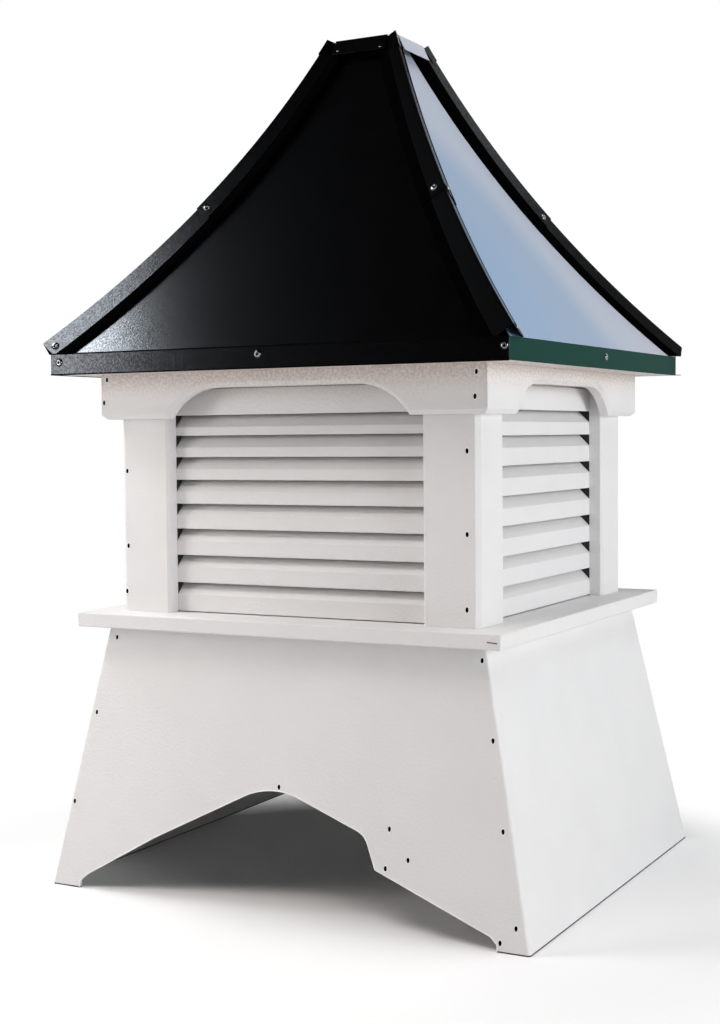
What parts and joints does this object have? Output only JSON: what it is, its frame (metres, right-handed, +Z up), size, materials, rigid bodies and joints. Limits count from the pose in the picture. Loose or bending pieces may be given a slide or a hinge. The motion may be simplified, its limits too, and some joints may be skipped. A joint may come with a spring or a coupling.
{
  "type": "roof cupola",
  "caption": "Square louvred roof cupola with a flared base cut to straddle a roof ridge, an arched frieze and a concave hipped metal roof with raised hip caps",
  "frame": {"origin": "centre of the footprint on the ground", "axes": "Z up; the front, with the ridge saddle and the closer louvres, faces -Y; X runs to the right along the front"},
  "size_m": [0.914, 0.894, 1.524],
  "materials": {
    "white_pvc": "satin white sheet with a fine orange-peel grain",
    "black_metal": "black powder coat, semi-gloss, fine texture",
    "pale_blue_metal": null,
    "green_metal": null,
    "dark_frame": "dark, dull"
  },
  "bodies": {
    "root": {"base_front": "white_pvc", "base_back": "white_pvc", "base_left": "white_pvc", "base_right": "white_pvc", "sill_board": "white_pvc", "post_front_left": "white_pvc", "post_front_right": "white_pvc", "post_back_left": "white_pvc", "post_back_right": "white_pvc", "louvre_slats_front": "white_pvc", "louvre_slats_back": "white_pvc", "louvre_slats_left": "white_pvc", "louvre_slats_right": "white_pvc", "louvre_stiles_front": "dark_frame", "louvre_stiles_back": "dark_frame", "louvre_stiles_left": "dark_frame", "louvre_stiles_right": "dark_frame", "frieze_front": "white_pvc", "frieze_back": "white_pvc", "frieze_left": "white_pvc", "frieze_right": "white_pvc", "soffit": "white_pvc", "fascia_front": "black_metal", "fascia_back": "black_metal", "fascia_left": "black_metal", "fascia_right": "green_metal", "roof_panel_front": "black_metal", "roof_panel_back": "black_metal", "roof_panel_left": "black_metal", "roof_panel_right": "pale_blue_metal", "hip_cap_lower_front_left": "black_metal", "hip_cap_lower_front_right": "black_metal", "hip_cap_lower_back_left": "black_metal", "hip_cap_lower_back_right": "black_metal", "hip_cap_upper_front_left": "black_metal", "hip_cap_upper_front_right": "black_metal", "hip_cap_upper_back_left": "black_metal", "hip_cap_upper_back_right": "black_metal", "crown_front": "black_metal", "crown_back": "black_metal", "crown_left": "black_metal", "crown_right": "pale_blue_metal", "crown_corners": "black_metal", "top_plate": "black_metal"}
  },
  "joints": []
}
